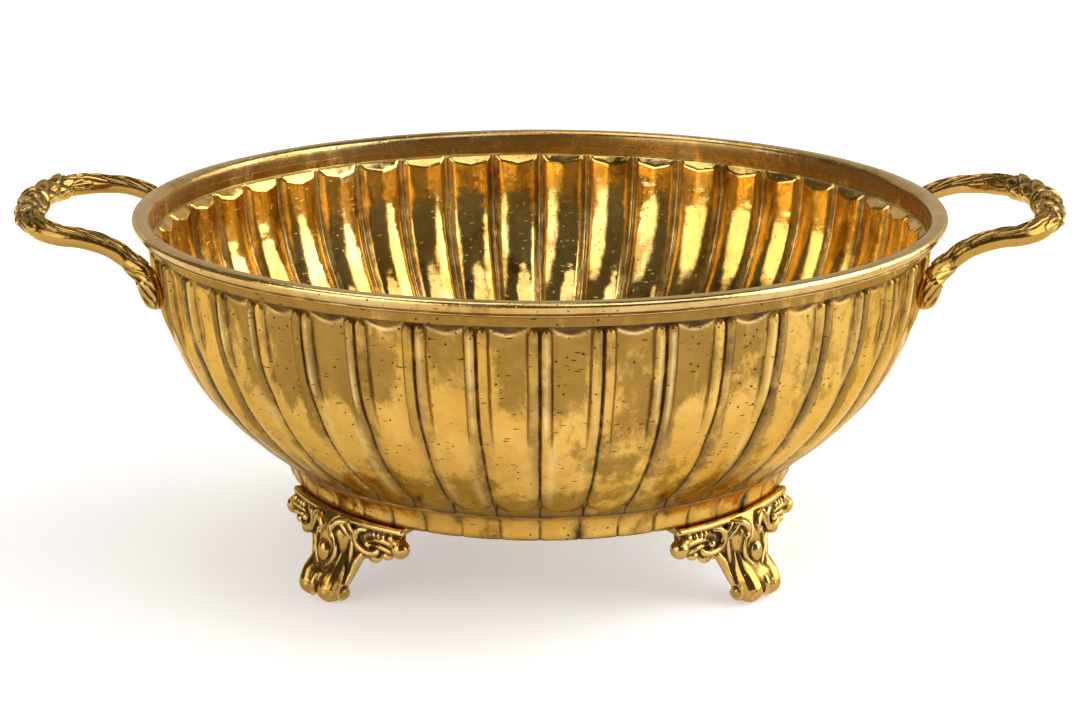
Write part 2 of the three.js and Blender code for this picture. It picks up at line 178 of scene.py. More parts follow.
sheetLook = {
    "warm": (0.60, 0.33, 0.058),
    "pale": (0.70, 0.415, 0.095),
    # stain colour, also used for painted shade
    "stainAndShade": (0.20, 0.105, 0.02),
    "smudge": (0.42, 0.235, 0.05),
    "wornHighlight": (0.90, 0.68, 0.31),  # painted highlight on high places, partly polished bright by handling
    # dark colour of dirt, also used for painted shade
    "dirtAndShade": (0.045, 0.024, 0.008),
    "edge": (0.93, 0.77, 0.46),  # colour of a metal at a grazing angle
    "cloudScale": 17,
    "cloudSpan": (0.36, 0.66),  # noise value where they begin, and where they are full
    "stainScale": 26,
    "stainStretch": (1.5, 1.5, 0.85),
    "stainShadeSpan": (0.54, 0.65),
    "stainShadeAmount": 0.8,
    "patinaShadePull": 0.2,
    "smudgeScale": 130,
    "smudgeSpan": (0.42, 0.68),
    "smudgeAmount": 0.35,
    "pitPatchScale": 30,  # pits and dashes come in patches
    "pitPatchSpan": (0.4, 0.52),
    "pitScale": 290,
    "pitSize": 0.15,
    "pitAmount": 0.95,
    "dashPatchScale": 42,
    "dashPatchSpan": (0.42, 0.54),
    "dashScale": 261,
    "dashStretch": (0.45, 0.45, 2.4),  # marks lie level
    "dirtShadeScale": 160,
    "dirtShadeSpan": (0.3, 0.62),
    "dirtShadeRange": (0.45, 1.25),
    "wearSheenScale": 70,
    "wearSheenStretch": (1, 1, 0.6),
    "wearSheenSpan": (0.3, 0.6),
    "wearSheenRange": (0.25, 1.0),
    "glossScale": 52,
    "glossSpan": (0.3, 0.7),
    "roughness": (0.13, 0.28),
    "soilShadeRough": 0.45,  # what dirt and painted shade add to the roughness
    "soilShadeCover": 0.8,  # how much of the metal it hides
    "dentScale": 55,
    "dentDepth": 0.9,
    "grainScale": 420,
    "grainDepth": 0.1,
    "pitDepth": 0.25,
}
innerLook = dict(
    sheetLook,
    warm=(0.76, 0.46, 0.10),
    pale=(0.86, 0.60, 0.22),
    edge=(1.0, 0.92, 0.75),
    stainAndShade=(0.30, 0.15, 0.02),
    pitAmount=0.25,
    roughness=(0.07, 0.16),
    dentDepth=0.7,
    grainDepth=0.05,
)
rimLook = dict(
    sheetLook,
    warm=(0.56, 0.35, 0.10),
    pale=(0.62, 0.44, 0.19),
    edge=(1.0, 0.9, 0.74),
    stainShadeAmount=0.6,
    pitAmount=0.7,
    roughness=(0.12, 0.24),
    dentDepth=0.35,
)
castLook = dict(
    sheetLook,
    warm=(0.41, 0.235, 0.05),
    pale=(0.50, 0.31, 0.085),
    wornHighlight=(0.82, 0.60, 0.26),
    stainAndShade=(0.17, 0.09, 0.02),
    stainShadeAmount=0.4,
    patinaShadePull=0.3,
    pitAmount=0.4,
    dashStretch=(1, 1, 1),
    roughness=(0.1, 0.2),
    dentDepth=0.2,
    grainDepth=0.06,
)
screwLook = dict(castLook, warm=(0.4, 0.24, 0.08), roughness=(0.35, 0.5))

sheetBrass = brassFinish("sheetBrass", sheetLook)
innerBrass = brassFinish("innerBrass", innerLook)
rimBrass = brassFinish("rimBrass", rimLook)
castBrass = brassFinish("castBrass", castLook)
screwBrass = brassFinish("screwBrass", screwLook)
print("finishes: 5")


def finishPiece(name, bm, finishes, slot, *nodes):
    bmesh.ops.recalc_face_normals(bm, faces=bm.faces)
    piece = meshObject(name, bm)
    mesh = piece.data
    mesh.polygons.foreach_set("use_smooth", [True] * len(mesh.polygons))
    for finish in finishes:
        mesh.materials.append(finish)
    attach(piece, "root")
    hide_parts(*nodes)
    print(name + ":", len(mesh.polygons), "faces")
    return piece


# Joined row of section points (radius, height), with extra values kept on each vertex.
def sectionLoop(bm, points, closed, **values):
    verts = [bm.verts.new((radius * mm, 0, height * mm)) for radius, height in points]
    for name, row in values.items():
        layer = bm.verts.layers.float.get(name)
        for vert, value in zip(verts, row):
            vert[layer] = value
    pairs = list(zip(verts, verts[1:]))
    if closed:
        pairs.append((verts[-1], verts[0]))
    return verts + [bm.edges.new(pair) for pair in pairs]


bowl = {
    "flutes": 44,
    "ridgeRadius": 158.3,
    "fluteTop": 133.4,
    "collarTop": 137.05,
    "collarRadius": 158.9,
    "creaseRadius": 112.6,
    "foot": 47.4,
    "upperPull": 48.6,
    "upperLean": 1.2,
    "lowerPull": 28.0,
    "lowerLean": 51.0,
    "sheet": 1.3,
    "panelDepth": 2.0,
    "panelHollow": 0.7,
    "beadShare": 0.19,  # one bead, as part of a flute
    "beadFoot": 0.9,  # edges of a bead behind the crest line
    "beadHeight": 1.5,
    "beadEnd": 40.0,  # where the beads run out, down the wall
    "domeTop": 0.5,  # round top of a bead: highest place, and drop to its edges
    "domeDrop": 2.7,
    "slopeCorner": 1.0,  # slope over a panel: lower edge at the corners, and drop to the middle
    "slopeDrop": 2.6,
    "lipHeight": 0.3,
    "grooveDepth": 0.5,
    "lobeDepth": 1.2,
    "petalStart": 84.0,
    "petalDepth": 0.5,
    "ridgeInside": 3.9,
    "places": (  # columns of half a flute
        0, 0.012, 0.03, 0.055, 0.1, 0.145, 0.168, 0.181, 0.19, 0.199, 0.212, 0.235, 0.31, 0.4, 0.46, 0.5,
    ),
}
pitch = 2 * math.pi / bowl["flutes"]


def wallLine():
    upper = math.radians(bowl["upperLean"])
    lower = math.radians(bowl["lowerLean"])
    top = Vector((bowl["ridgeRadius"], bowl["fluteTop"]))
    end = Vector((bowl["creaseRadius"], bowl["foot"]))
    pulls = (
        top,
        top - bowl["upperPull"] * Vector((math.sin(upper), math.cos(upper))),
        end + bowl["lowerPull"] * Vector((math.sin(lower), math.cos(lower))),
        end,
    )
    count = 600
    line = [bezier(pulls, i / count) for i in range(count + 1)]
    lengths = [0.0]
    for one, two in zip(line, line[1:]):
        lengths.append(lengths[-1] + (two - one).length)
    return line, lengths


wall, wallLengths = wallLine()
wallLength = wallLengths[-1]


# Point of the wall line at a distance from the flutes' top, and the way out of the wall there.
def wallAt(along):
    share = min(max(along, 0.0), wallLength)
    high = min(bisect_right(wallLengths, share), len(wallLengths) - 1)
    low = high - 1
    part = (share - wallLengths[low]) / (wallLengths[high] - wallLengths[low])
    down = (wall[high] - wall[low]).normalized()
    return wall[low].lerp(wall[high], part), Vector((-down.y, down.x))


# Lower edge of the slope over a panel.
# Here and below, near is 0 on a crest and 0.5 in the middle of a panel.
def lensEnd(near):
    edge = bowl["beadShare"]
    share = min(1.0, max(0.0, (near - edge) / (0.5 - edge)))
    return bowl["slopeCorner"] + bowl["slopeDrop"] * math.sin(math.pi / 2 * share)


# 0 above the round top of a bead, 1 below it; along is mm from the top of the flutes.
def beadDome(near, along):
    start = bowl["domeTop"] + bowl["domeDrop"] * (2 * near / bowl["beadShare"] - 1) ** 2
    return ease(along, start - 0.4, start + 0.7)


# How far the outside stands off the crest line.
def outsideRelief(near, along, beadEnd):
    edge = bowl["beadShare"]
    fade = 1 - ease(along, beadEnd - 12, beadEnd + 8)
    panel = ease(near, edge + 0.002, edge + 0.03)
    hollow = math.sin(math.pi * ease(near, edge, 0.5) / 2)
    bead = math.sqrt(max(0.0, 1 - (2 * near / edge - 1) ** 2))
    lens = lensEnd(near)
    sunk = (bowl["panelDepth"] + bowl["panelHollow"] * hollow) * min(1.0, along / lens)
    sunk -= bowl["lipHeight"] * hump(along - lens, 0.3, 0.4)
    rib = bowl["beadHeight"] * bead * beadDome(near, along) - bowl["beadFoot"]
    rib -= bowl["grooveDepth"] * hump(near, 0, 0.014)
    upper = rib * (1 - panel) - sunk * panel
    lobe = math.sin(math.pi * near) ** 0.55
    groove = bowl["grooveDepth"] * hump(near, 0, 0.02)
    lower = -bowl["lobeDepth"] * (1 - lobe) - groove - 0.2
    relief = upper * fade + lower * (1 - fade)
    start = bowl["petalStart"]
    if along > start:
        way = min(1.0, (along - start) / (wallLength - 3 - start))
        half = 0.5 * math.sqrt(max(0.0, 1 - way * way))
        beside = ease(0.5 - near, half - 0.03, half + 0.045)
        relief -= bowl["petalDepth"] * beside * ease(along, start, start + 7)
    end = ease(along, wallLength - 5, wallLength - 0.5)
    return relief * (1 - end) - end * (0.1 + groove)


# Painted shade: darker under the collar and above the bead tops, along the bead edges and flanks, in the
# crescent at each panel's top, in bands beside the crests and at the foot of the wall; the dark line in the
# groove is dirt.
def outsideShadeAndDirt(near, along, beadEnd, shade):
    edge = bowl["beadShare"]
    upper = 1 - ease(along, beadEnd - 6, beadEnd + 8)
    lens = lensEnd(near)
    line = hump(near, 0, 0.021 + 0.008 * ease(along, 30, 60))
    band = shade * (hump(near, 0, 0.14) if along > beadEnd or near > edge else 0.8)
    side = 0.7 * hump(near - edge, 0.014, 0.011) * upper
    slope = ease(along, 0.1, 0.6) * (1 - ease(along, lens - 0.8, lens - 0.1))
    slope *= ease(near, edge - 0.01, edge + 0.03)
    under = 0.8 * hump(along, 0.2, 0.5)
    flank = 0.0
    if near < edge:
        under = max(under, 0.8 * (1 - beadDome(near, along)))
        flank = 0.3 * upper * (2 * near / edge - 1) ** 2
    base = 0.35 * ease(along, wallLength - 9, wallLength - 3) * (1 - ease(near, 0.2, 0.45))
    base = max(base, 0.6 * ease(along, wallLength - 1.5, wallLength - 0.3))
    return min(1.0, max(line, side, 0.75 * slope, under, flank, base, band))


# Painted highlight, partly wear: bright bead crests, a bright lip under each panel's top crescent, and
# bright lobes lower down.
def outsideWearAndHighlight(near, along, beadEnd, gleam):
    edge = bowl["beadShare"]
    upper = ease(along, 2.5, 5) * (1 - ease(along, beadEnd - 12, beadEnd))
    crest = gleam * upper * hump(near, 0.1, 0.035)
    lip = 0.8 * hump(along - lensEnd(near), 0.5, 0.5) * ease(near, edge, edge + 0.03)
    lobe = 0.45 * gleam * hump(near, 0.2, 0.08) * ease(along, beadEnd - 8, beadEnd + 14)
    return max(crest, lip, lobe * (1 - ease(along, 82, 98)))


# Painted shade: at the sides of the bowl one edge of each panel is darkened.
def paintedShadeSide(offset, angle):
    return max(0.0, math.copysign(1, offset) * math.cos(angle)) ** 0.6


# Painted shade: the upper wall is darkened, most at front and back, and one edge of each panel at the sides;
# lower down the wall gets real stains.
def outsideShadeAndPatina(near, along, angle, sideShade):
    edge = bowl["beadShare"]
    frontShade = 0.3 + 0.7 * max(0.0, math.cos(2 * angle + math.pi)) ** 0.7
    upper = frontShade * (1 - ease(along, 22, 46)) * (0.4 + 0.6 * ease(near, edge, edge + 0.06))
    strip = sideShade * (1 - ease(near, 0.19, 0.34)) * (1 - 0.35 * ease(along, 35, 85))
    return max(upper, strip, ease(along, 58, 92))


# Inside, each flute shows as a ridge under a sloping triangle.
# A thin rib runs in the valley between two ridges.
def insideRelief(near, along):
    rise = min(1.0, max(0.0, (near - 0.05) / 0.45))
    roof = 0.5 * ease(near, 0.04, 0.14) + 0.5 * (1 - math.sqrt((1 - rise) ** 2 + 0.0025))
    box = (1 - (1 - rise) ** 1.9) ** (1 / 1.7)
    soft = ease(along, 5, 20)
    rise = roof * (1 - soft) + box * soft
    height = bowl["ridgeInside"] * (1 - 0.3 * ease(along, 30, 90)) * (1 - 0.75 * ease(along, 88, 101))
    rib = 0.35 * hump(near, 0, 0.02)
    raised = min(height * max(0.0, rise) + rib, max(0.0, along * 0.9))
    return bowl["sheet"] + 0.5 * ease(along, 30, 70) + raised


def insideDirt(near, along):
    valley = 0.85 * hump(near, 0.04, 0.018)
    flank = 0.25 * (1 - ease(near, 0.06, 0.16))
    seam = 0.6 * hump(along, 0, 0.5)
    return max(valley * ease(along, 0.2, 1.5), flank * ease(along, 1, 4), seam, 0.5 * ease(along, 90, 101))


def insidePatina(near, along):
    return 0.35 * ease(along, 40, 75) + 0.3 * (1 - ease(near, 0.05, 0.3))


# Radius and height of the wall's section, with how far down the wall each point is and on which side.
def bowlSection():
    outer = steps(0, 1.2, 4) + steps(1.2, 5, 8) + steps(5, 28, 5) + steps(28, 50, 8) + steps(50, 82, 6)
    outer += steps(82, wallLength - 0.2, 8) + [wallLength - 0.2]
    inner = steps(0, 6, 8) + steps(6, 90, 12) + steps(90, wallLength, 3)
    top = bowl["collarTop"]
    section = [(bowl["collarRadius"], top - drop, -1, 0) for drop in (0, 0.1, 1.4, 2.6, 3.3)]
    for side, row in ((0, outer + [wallLength]), (1, [wallLength] + inner[::-1])):
        for along in row:
            spot, out = wallAt(along)
            inset = side * bowl["sheet"]
            section.append((spot.x - inset * out.x, spot.y - inset * out.y, along, side))
    inside = bowl["collarRadius"] - bowl["sheet"]
    section += [(inside, top - drop, -1, 1) for drop in (3.5, 3.35, 2.2, 0.1, 0)]
    return section


def makeBowl():
    bm = bmesh.new()
    alongLayer = bm.verts.layers.float.new("along")
    insideLayer = bm.verts.layers.float.new("inside")
    section = bowlSection()
    points = [row[:2] for row in section]
    alongs = [row[2] for row in section]
    insides = [row[3] for row in section]
    loop = sectionLoop(bm, points, True, along=alongs, inside=insides)
    half = bowl["places"]
    places = half + tuple(1 - place for place in reversed(half[:-1]))
    turnCount = len(places) - 1
    bmesh.ops.spin(bm, geom=loop, axis=axis, cent=(0, 0, 0), angle=pitch, steps=turnCount)
    for vert in bm.verts:
        angle = pitch * places[round(math.atan2(vert.co.y, vert.co.x) / pitch * turnCount)]
        radius = math.hypot(vert.co.x, vert.co.y)
        vert.co = Vector((radius * math.cos(angle), radius * math.sin(angle), vert.co.z))
    sector = bm.verts[:] + bm.edges[:] + bm.faces[:]
    bmesh.ops.spin(
        bm, geom=sector, axis=axis, cent=(0, 0, 0), angle=2 * math.pi - pitch,
        steps=bowl["flutes"] - 1, use_duplicate=True,
    )
    bmesh.ops.remove_doubles(bm, verts=bm.verts, dist=0.01 * mm)
    for face in bm.faces:
        face.material_index = int(min(vert[insideLayer] for vert in face.verts) > 0.5)
    warpBowl(bm, alongLayer, insideLayer)
    return bm


# Works the flutes into the plain wall, with hand-made unevenness.
def warpBowl(bm, alongLayer, insideLayer):
    grimeLayer = bm.verts.layers.float.new("grime")
    patinaShadeLayer = bm.verts.layers.float.new("patinaAndShade")
    wearHighlightLayer = bm.verts.layers.float.new("wearAndHighlight")
    for vert in bm.verts:
        along = vert[alongLayer]
        inner = vert[insideLayer] > 0.5
        if along < 0:  # the plain collar behind the rim
            # Painted shade: the collar behind the rim is darkened, more on the inside.
            vert[patinaShadeLayer] = 0.9
            vert[grimeLayer] = 0.3 if inner else 0.1
            continue
        turn = math.atan2(vert.co.y, vert.co.x) / pitch
        angle = turn * pitch
        shake = 0.010 * noise.noise(vert.co * 75) + 0.006 * noise.noise(vert.co * 190)
        offset = (turn + shake * ease(along, 0, 4) + 0.5) % 1.0 - 0.5
        near = abs(offset)
        crest = round(turn) % bowl["flutes"]
        beadEnd = bowl["beadEnd"] + 9 * math.sin(crest * 12.99)
        spot, out = wallAt(along)
        level = max(0.0, along + 0.35 * noise.noise(vert.co * 90) * ease(along, 0, 1.5))
        if inner:
            depth = -insideRelief(near, level)
            vert[grimeLayer] = insideDirt(near, level)
            vert[patinaShadeLayer] = insidePatina(near, level)
        else:
            depth = outsideRelief(near, level, beadEnd)
            sideShade = paintedShadeSide(offset, angle)
            # Painted shade: how dark the band beside each crest is, on one side picked by the crest's number
            # and more on the shaded side at the bowl's sides.
            shade = max(0.0, 0.2 + 0.32 * math.sin(crest * 7.3 + (1.9 if offset > 0 else 0.0))) + 0.3 * sideShade
            shade *= 0.75 + 0.7 * noise.noise(vert.co * 45)
            vert[grimeLayer] = outsideShadeAndDirt(near, level, beadEnd, shade)
            vert[patinaShadeLayer] = outsideShadeAndPatina(near, level, angle, sideShade)
            # Painted highlight: how bright the crests are, picked by the crest's number and its side.
            gleam = max(0.0, 0.5 + 0.6 * math.sin(crest * 9.7 + (2.4 if offset > 0 else 0.0)))
            gleam *= 0.8 + 0.8 * noise.noise(vert.co * 38)
            vert[wearHighlightLayer] = max(0.0, outsideWearAndHighlight(near, level, beadEnd, gleam))
        calm = ease(along, 0, 10) * (1 - ease(along, 92, 101))
        depth += (0.3 * noise.noise(vert.co * 21) + 0.16 * noise.noise(vert.co * 60)) * calm
        radius = spot.x + depth * out.x
        height = spot.y + depth * out.y
        vert.co = Vector((radius * math.cos(angle), radius * math.sin(angle), height)) * mm


finishPiece("bowlShell", makeBowl(), (sheetBrass, innerBrass), "sheet_brass", "bowl_shell")


# Rows hold radius, height and darkening of the section, which is partly dirt and partly painted shade.
def spinRound(rows, count, closed=True):
    bm = bmesh.new()
    bm.verts.layers.float.new("grime")
    points = [row[:2] for row in rows]
    dirtAndShade = [row[2] for row in rows]
    loop = sectionLoop(bm, points, closed, grime=dirtAndShade)
    bmesh.ops.spin(
        bm, geom=loop, axis=axis, cent=(0, 0, 0), angle=2 * math.pi, steps=count, use_merge=True,
    )
    bmesh.ops.remove_doubles(bm, verts=bm.verts, dist=0.01 * mm)
    return bm


rim = {"outside": 165.0, "inside": 160.2, "top": 143.7, "foot": 137.1, "collarRadius": 158.9, "steps": 264}


def makeRim():
    top = rim["top"]
    foot = rim["foot"]
    outside = rim["outside"]
    inside = rim["inside"]
    collar = rim["collarRadius"]
    rows = [
        (inside - 0.7, top - 0.3, 0),
        (inside, top - 0.05, 0),
        (inside + 0.6, top, 0),
        (outside - 2.1, top, 0),
    ]
    for angle in range(75, 0, -15):
        turn = math.radians(angle)
        rows.append((outside - 2.0 + 2.0 * math.cos(turn), top - 1.8 + 1.8 * math.sin(turn), 0))
    for angle in range(0, -71, -14):
        turn = math.radians(angle)
        rows.append((outside - 2.6 + 2.6 * math.cos(turn), top - 1.8 + 2.8 * math.sin(turn), 0))
    rows += [
        # Painted shade in the crease under the bead and below the rim's foot.
        (outside - 2.0, top - 4.6, 0.7),
        (outside - 2.05, top - 4.75, 0.6),
        (outside - 1.8, top - 4.95, 0),
        (outside - 2.0, top - 5.3, 0),
        (outside - 3.2, top - 5.7, 0.05),
        (outside - 4.6, top - 6.15, 0.15),
        (collar + 0.25, foot, 0.3),
        (collar - 0.1, foot - 0.2, 0.4),
        (collar - 1.2, foot - 0.05, 0.1),
        (collar - 1.3, foot, 0.3),
        (collar - 1.3, foot + 0.15, 0.3),
        (collar - 1.3, foot + 2.2, 0.28),
        (collar - 1.25, top - 2.6, 0.22),
        (collar - 1.0, top - 1.7, 0.1),
        (inside - 1.7, top - 0.95, 0.05),
    ]
    bm = spinRound(rows, rim["steps"])
    patinaShadeLayer = bm.verts.layers.float.new("patinaAndShade")
    wearHighlightLayer = bm.verts.layers.float.new("wearAndHighlight")
    for vert in bm.verts:
        radius = math.hypot(vert.co.x, vert.co.y) / mm
        drop = top - vert.co.z / mm
        # Painted shade on the inner wall below the top, and a painted highlight along the top outer edge.
        vert[patinaShadeLayer] = 0.9 * ease(drop, 0.8, 2.4) * (1 - ease(radius, inside - 1, inside))
        vert[wearHighlightLayer] = 0.9 * ease(radius, outside - 1.6, outside - 0.6) * (1 - ease(drop, 0.7, 1.6))
        vert.co.z += noise.noise(vert.co * 17) * 0.12 * mm
    return bm


finishPiece("rimRing", makeRim(), (rimBrass,), "rim_brass", "rim_ring")

ring = {
    "radius": 105.3,
    "spread": 6.9,
    "top": 47.0,
    "foot": 35.2,
    "pull": 3.9,  # bends the section between top and foot
    "wall": 2.2,
    "line": 0.6,
    "pillow": 0.4,
    "seat": 13.0,
    "flange": 13.5,
    "rows": 12,
    "perFlute": 20,
}


def makeRing():
    top = ring["top"]
    foot = ring["foot"]
    wallIn = ring["radius"] - ring["wall"]
    flangeIn = ring["radius"] - ring["flange"]
    edge = ring["radius"] + ring["spread"]
    seatIn = edge - ring["seat"]
    # Painted shade: dark at the top, where the ring meets the bowl wall, fading downwards, and darker again
    # at the foot.
    rows = [(edge - 0.3, top + 0.3, 0.7), (edge - 0.1, top + 0.25, 0.7)]
    for i in range(ring["rows"]):
        share = i / ring["rows"]
        rest = 1 - share
        radius = ring["radius"] + ring["spread"] * rest * rest
        height = top * (rest * rest) + 2 * rest * share * (top - ring["pull"]) + foot * share * share
        dirtAndShade = 0.6 * (1 - ease(share, 0, 0.4)) + 0.35 * ease(share, 0.85, 1)
        rows.append((radius, height, dirtAndShade))
    rows += [
        (ring["radius"] - 0.4, foot, 0.4),
        (flangeIn, foot, 0.3),
        (flangeIn, foot + ring["wall"], 0.3),
        (wallIn, foot + ring["wall"], 0.3),
        (wallIn + 1.4, top - ring["wall"] - 1.5, 0.3),
        (seatIn, top - ring["wall"], 0.3),
        (seatIn, top, 0.3),
    ]
    bm = spinRound(rows, bowl["flutes"] * ring["perFlute"])
    grimeLayer = bm.verts.layers.float["grime"]
    for vert in bm.verts:
        radius = math.hypot(vert.co.x, vert.co.y) / mm
        height = vert.co.z / mm
        share = math.atan2(vert.co.y, vert.co.x) / pitch % 1.0
        near = min(share, 1 - share)
        if radius > ring["radius"] - 1.0:
            down = ease(height, top, top - 3)
            line = hump(near, 0, 0.03)
            blotch = max(0.0, noise.noise(vert.co * 70) + 0.2) * hump(near, 0, 0.2)
            offset = ring["pillow"] * (math.sin(math.pi * share) ** 0.5 - 1) * down
            offset -= ring["line"] * line * down
            vert[grimeLayer] = max(vert[grimeLayer], 0.8 * line * down, 1.4 * blotch * down)
            vert.co.x *= (radius + offset) / radius
            vert.co.y *= (radius + offset) / radius
    return bm


finishPiece("baseRing", makeRing(), (sheetBrass,), "sheet_brass", "base_ring")

disc = {
    "radius": 110.6,
    "bottom": 47.3,
    "top": 48.8,
    "rings": (104, 103, 102, 74, 73, 72, 38, 37, 36, 6, 5),
    "grooves": (103, 73, 37, 5),
    "grooveDepth": 0.35,
    "steps": 132,
}


def makeDisc():
    edge = disc["radius"]
    top = disc["top"]
    rows = [(0, disc["bottom"], 0.3), (edge, disc["bottom"], 0.4), (edge, top - 0.3, 0.9)]
    for radius in (edge - 0.3, *disc["rings"]):
        groove = disc["grooveDepth"] if radius in disc["grooves"] else 0
        rows.append((radius, top - groove, 0.55 if groove else 0.25 * ease(radius, 95, 110)))
    rows.append((0, top, 0.1))
    return spinRound(rows, disc["steps"], closed=False)


finishPiece("bowlFloor", makeDisc(), (innerBrass,), "sheet_brass", "bowl_floor")


# Writes dirt in the hollows of a cast piece and painted shade on its undersides, and a painted highlight,
# partly wear, on its high places.
def paintHollows(mesh, reach, strength, rubSheen, under):
    count = len(mesh.vertices)
    places = np.zeros(count * 3)
    mesh.vertices.foreach_get("co", places)
    places = places.reshape(-1, 3) / mm
    normals = np.zeros(count * 3)
    mesh.vertices.foreach_get("normal", normals)
    normals = normals.reshape(-1, 3)
    ends = np.zeros(len(mesh.edges) * 2, dtype=np.int64)
    mesh.edges.foreach_get("vertices", ends)
    one, two = ends.reshape(-1, 2).T
    degree = np.bincount(ends, minlength=count).astype(float)

    def average(values):
        total = np.bincount(one, weights=values[two], minlength=count)
        total += np.bincount(two, weights=values[one], minlength=count)
        return total / np.maximum(degree, 1)

    smooth = places.copy()
    for _ in range(reach):
        smooth = np.stack([average(smooth[:, i]) for i in range(3)], axis=1)
    hollow = ((smooth - places) * normals).sum(axis=1)
    below = np.clip((-normals[:, 2] - 0.45) / 0.45, 0, 1)  # painted shade: undersides are darkened
    dirtAndShade = np.clip(average(average(hollow)) * strength + under * below, 0, 1)
    wearAndHighlight = np.clip(-average(hollow) * rubSheen - 0.25, 0, 1)
    for name, values in (("grime", dirtAndShade), ("wearAndHighlight", wearAndHighlight)):
        layer = mesh.attributes.new(name, "FLOAT", "POINT")
        layer.data.foreach_set("value", values.astype(np.float32))


def splineThrough(points, perSpan):
    ends = [points[0] * 2 - points[1]] + list(points) + [points[-1] * 2 - points[-2]]
    line = []
    for before, one, two, after in zip(ends, ends[1:], ends[2:], ends[3:]):
        first = (one - before).length ** 0.5
        middle = (two - one).length ** 0.5
        last = (after - two).length ** 0.5
        out = (one - before) / first - (two - before) / (first + middle) + (two - one) / middle
        back = (two - one) / middle - (after - one) / (middle + last) + (after - two) / last
        for i in range(perSpan):
            t = i / perSpan
            line.append(
                one * (2 * t ** 3 - 3 * t * t + 1) + out * middle * (t ** 3 - 2 * t * t + t)
                + two * (3 * t * t - 2 * t ** 3) + back * middle * (t ** 3 - t * t)
            )
    return line + [points[-1].copy()]


def polar(radius, azimuth, height):
    return Vector((radius * math.cos(azimuth), radius * math.sin(azimuth), height))


handle = {
    "padAzimuth": 2.5 * pitch,
    "pad": ((158.8, 112.8), (160.7, 119.6), (163.0, 126.2)),  # radius and height of the middle line
    "neck": (168.4, 131.2),
    "shoulder": (167.8, 136.3),
    "halfSpan": 51.0,
    "armStart": 178.0,
    "loopReach": 28.6,
    "loopHeight": 139.7,
    "loopRise": 3.9,
    "loopSquare": 0.8,
    "loopPoints": 8,
    "body": (  # from the tip of a pad: half-width sideways, half-width outwards
        (0, 0.02, 0.02), (0.5, 1.6, 1.5), (1.6, 2.6, 2.6), (4, 3.2, 3.7), (8, 3.6, 4.4), (13, 3.7, 4.3),
        (18, 3.5, 3.7), (24, 3.4, 3.5), (34, 3.4, 3.5), (50, 3.5, 3.6), (60, 3.9, 3.9),
    ),
    "grip": (  # from the middle of the grip: radius under the leaves
        (0, 6.5), (1.4, 6.4), (2.6, 5.8), (3.6, 4.7), (6, 4.8), (12, 5.0), (17, 4.9), (20, 4.8), (26, 5.0),
        (30, 5.1), (32, 5.2), (33.2, 5.0), (33.9, 4.4), (36, 4.4), (46, 4.3), (56, 3.9),
    ),
    "leafRows": (  # start, length, leaves round, turn, height at the root, height at the tip
        (3.4, 9.6, 5, 0.0, 0.1, 0.2), (10, 10.5, 5, 0.5, 0.1, 0.2), (18, 9.6, 5, 0.0, 0.1, 0.2),
        (25, 8.6, 5, 0.5, 0.1, 0.15),
    ),
    "armLeaves": (  # from the tip of a pad: start, length, turn, half-width, lobes, slant, height
        (17, 54, 100, 62, 6, 1.3, 0.65), (1, 24, 285, 100, 3, 2.6, 0.6),
    ),
    "bellTurns": (20, 92, 164),  # leaf tips that reach out of the bell over the arm
    "bellLeaf": (47, 14, 30, 1, 1.1, 0.5),  # from the middle of the grip, and inwards
    "grimeShadeSheen": {"reach": 14, "strength": 17.0, "rubSheen": 3.0, "under": 0.45},
    "rows": 640,
    "columns": 112,
}


def softStep(values, start, end):
    share = np.clip((values - start) / (end - start), 0, 1)
    return share * share * (3 - 2 * share)


# One whorl of rounded leaves round the grip, each with a groove from its root.
def leafRow(middle, turn, start, length, count, shift, low, high):
    way = (middle - start) / length
    inside = (way > 0) & (way < 1)
    way = np.clip(way, 0.001, 0.999)
    side = np.abs((turn / (2 * math.pi) * count + shift) % 1.0 - 0.5) * 2
    half = np.maximum((1 - way ** 2.2) ** 0.6, 0.02)
    cover = softStep(half - side, 0, 0.12)
    dome = 1.25 * np.clip(1 - (side / half) ** 2, 0, 1) ** 0.75
    groove = -0.25 * np.exp(-(side / 0.1) ** 2) * (1 - softStep(way, 0.4, 0.7))
    carved = 0.1 + 0.9 * softStep(np.cos(turn - 1.4), -0.6, 0.0)  # the underside is worn smooth
    swell = 0.15 + 0.85 * softStep(way, 0, 0.6)  # a leaf grows out from under the row before it
    height = low + (high - low) * way ** 1.5 + dome + groove
    return np.where(inside, carved * cover * swell * height, 0)


# Leaf that lies along an arm: oblique rounded lobes on both sides of a middle line.
def armLeaf(way, side, lobes, slant, height):
    inside = (way > 0) & (way < 1)
    way = np.clip(way, 0.001, 0.999)
    phase = (lobes * way + slant * side) % 1.0
    lobe = np.sin(math.pi * phase) ** 0.6
    half = np.sin(math.pi * way ** 0.9) ** 0.35 * (0.84 + 0.16 * lobe)
    cover = softStep(half - side, 0, 0.14)
    vein = 0.45 * np.exp(-(side / 0.1) ** 2)
    return np.where(inside, cover * (height * (0.25 + 0.75 * lobe) + vein), 0)


def handleRelief(tip, middle, turn):
    relief = np.zeros_like(turn)
    for row in handle["leafRows"]:
        relief = np.maximum(relief, leafRow(middle, turn, *row))

    def fromTurn(degrees, width):
        apart = np.abs((turn - math.radians(degrees) + math.pi) % (2 * math.pi) - math.pi)
        return apart / math.radians(width)

    start, length, width, *form = handle["bellLeaf"]
    for degrees in handle["bellTurns"]:
        relief = np.maximum(relief, armLeaf((start - middle) / length, fromTurn(degrees, width), *form))
    for start, length, degrees, width, *form in handle["armLeaves"]:
        relief = np.maximum(relief, armLeaf((tip - start) / length, fromTurn(degrees, width), *form))
    return relief


